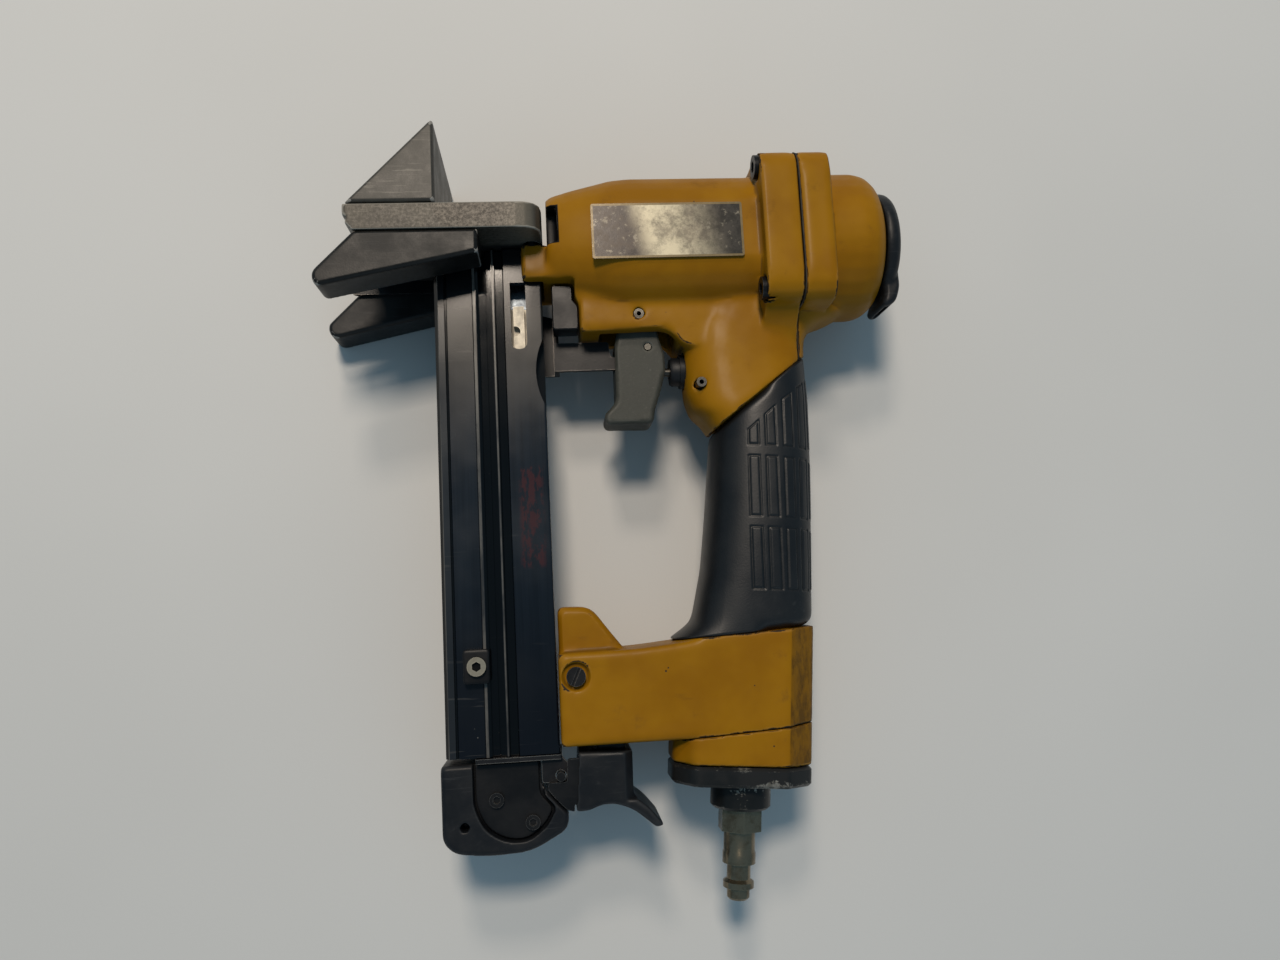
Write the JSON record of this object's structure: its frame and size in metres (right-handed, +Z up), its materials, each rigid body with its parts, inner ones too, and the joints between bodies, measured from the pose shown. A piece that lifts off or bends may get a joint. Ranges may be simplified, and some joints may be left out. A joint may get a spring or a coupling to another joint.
{
  "type": "pneumatic floor stapler",
  "caption": "Compressed-air floor stapler with a two-level 45 degree floor shoe, pull-out magazine, rubber grip, trigger with contact arm, latch and air plug.",
  "frame": {"origin": "middle of the underside of the tool as it lies on its side", "axes": "+X along the driver axis from nose to cap, +Y from the air plug end up to the floor shoe, +Z up through the width of the tool"},
  "size_m": [0.2218, 0.2812, 0.064],
  "materials": {
    "yellow_cast": "cast light alloy under gloss enamel, chipped and greasy",
    "rubber_black": "matt, moulded",
    "black_steel": "satin black, worn at the edges",
    "black_plastic": "satin, scuffed",
    "bare_steel": "bare, rubbed",
    "grey_cast": "cast, semi-matt",
    "black_alloy": "black anodised extrusion",
    "label": "blank dark plate",
    "seal_rubber": "matt"
  },
  "bodies": {
    "tool_body": {"air_plug": "bare_steel", "arm_guide": "grey_cast", "bracket_screw": "black_steel", "cap_gasket": "seal_rubber", "cap_screw_1": "black_steel", "cap_screw_2": "black_steel", "cap_screw_3": "black_steel", "cap_screw_4": "black_steel", "contact_spring": "bare_steel", "cylinder_cap": "yellow_cast", "cylinder_sleeve": "black_alloy", "end_cap": "black_alloy", "handle_end": "yellow_cast", "head_valve_spring": "bare_steel", "inlet_boss": "black_steel", "label_plate": "label", "latch_pivot_pin": "bare_steel", "latch_spring": "bare_steel", "magazine_bracket": "yellow_cast", "magazine_channel": "black_alloy", "main_housing": "yellow_cast", "nose_plate": "bare_steel", "nose_screw_1": "black_steel", "nose_screw_2": "black_steel", "piston_bumper": "seal_rubber", "plank_foot_far": "black_alloy", "plank_foot_near": "black_alloy", "plank_foot_screw_1": "black_steel", "plank_foot_screw_2": "black_steel", "rubber_grip": "rubber_black", "subfloor_foot": "black_alloy", "subfloor_foot_screw_1": "black_steel", "subfloor_foot_screw_2": "black_steel", "trigger_pivot_pin": "bare_steel", "trigger_valve_body": "black_plastic", "valve_pin": "bare_steel"},
    "striker": {"piston": "grey_cast", "piston_seal": "seal_rubber", "driver_blade": "bare_steel"},
    "head_valve_ring": {"head_valve": "black_plastic"},
    "trigger_body": {"trigger": "grey_cast", "trip_lever_pin": "bare_steel"},
    "trip_lever_body": {"trip_lever": "bare_steel"},
    "valve_stem_body": {"valve_stem": "bare_steel"},
    "contact_arm_body": {"contact_arm": "black_steel"},
    "deflector_body": {"exhaust_deflector": "black_plastic"},
    "rail_body": {"magazine_rail": "black_alloy", "staple_strip": "bare_steel", "pusher_spring": "bare_steel", "stop_block": "black_steel", "stop_screw": "bare_steel", "end_plate": "bare_steel", "end_grip": "black_plastic", "half_moon_plate": "black_steel", "half_moon_screw_1": "black_steel", "half_moon_screw_2": "black_steel", "latch_pin": "bare_steel"},
    "pusher_body": {"pusher": "bare_steel"},
    "latch_body": {"latch_lever": "black_plastic", "latch_hook": "black_steel"}
  },
  "joints": [
    {"name": "driver_stroke", "type": "slide", "parent": "tool_body", "child": "striker", "axis": [-1, 0, 0], "range_m": [0, 0.067]},
    {"name": "head_valve_lift", "type": "slide", "parent": "tool_body", "child": "head_valve_ring", "axis": [1, 0, 0], "range_m": [0, 0.004], "stiffness_N_per_m": 800, "springref_m": -0.004, "deforming": ["head_valve_spring"]},
    {"name": "trigger_pull", "type": "hinge", "parent": "tool_body", "child": "trigger_body", "pos_m": [0.0083, 0.07335, 0.032], "axis": [0, 0, 1], "range_deg": [0, 12], "stiffness_Nm_per_rad": 0.3, "springref_deg": -5.73},
    {"name": "trip_lever_swing", "type": "hinge", "parent": "trigger_body", "child": "trip_lever_body", "pos_m": [0.0115, 0.06205, 0.032], "axis": [0, 0, 1], "range_deg": [0, 9.1]},
    {"name": "valve_stem_press", "type": "slide", "parent": "tool_body", "child": "valve_stem_body", "axis": [1, 0, 0], "range_m": [0, 0.00255]},
    {"name": "contact_trip", "type": "slide", "parent": "tool_body", "child": "contact_arm_body", "axis": [1, 0, 0], "range_m": [0, 0.006], "stiffness_N_per_m": 300, "springref_m": -0.004, "deforming": ["contact_spring"]},
    {"name": "deflector_turn", "type": "hinge", "parent": "tool_body", "child": "deflector_body", "pos_m": [0.1067, 0.10135, 0.032], "axis": [1, 0, 0], "continuous": true},
    {"name": "magazine_slide", "type": "slide", "parent": "tool_body", "child": "rail_body", "axis": [0, -1, 0], "range_m": [0, 0.13]},
    {"name": "pusher_travel", "type": "slide", "parent": "rail_body", "child": "pusher_body", "axis": [0, -1, 0], "range_m": [0, 0.1], "stiffness_N_per_m": 20, "springref_m": -0.1, "deforming": ["pusher_spring"]},
    {"name": "latch_release", "type": "hinge", "parent": "tool_body", "child": "latch_body", "pos_m": [-0.00929, -0.07125, 0.032], "axis": [0, 0, 1], "range_deg": [0, 15], "stiffness_Nm_per_rad": 0.4, "springref_deg": -8.59, "deforming": ["latch_spring"]}
  ],
  "couplings": [
    {"joint": "trip_lever_swing", "follows": "contact_trip", "rad_per_m": 26.18},
    {"joint": "valve_stem_press", "follows": "trigger_pull", "m_per_rad": 0.011937}
  ]
}
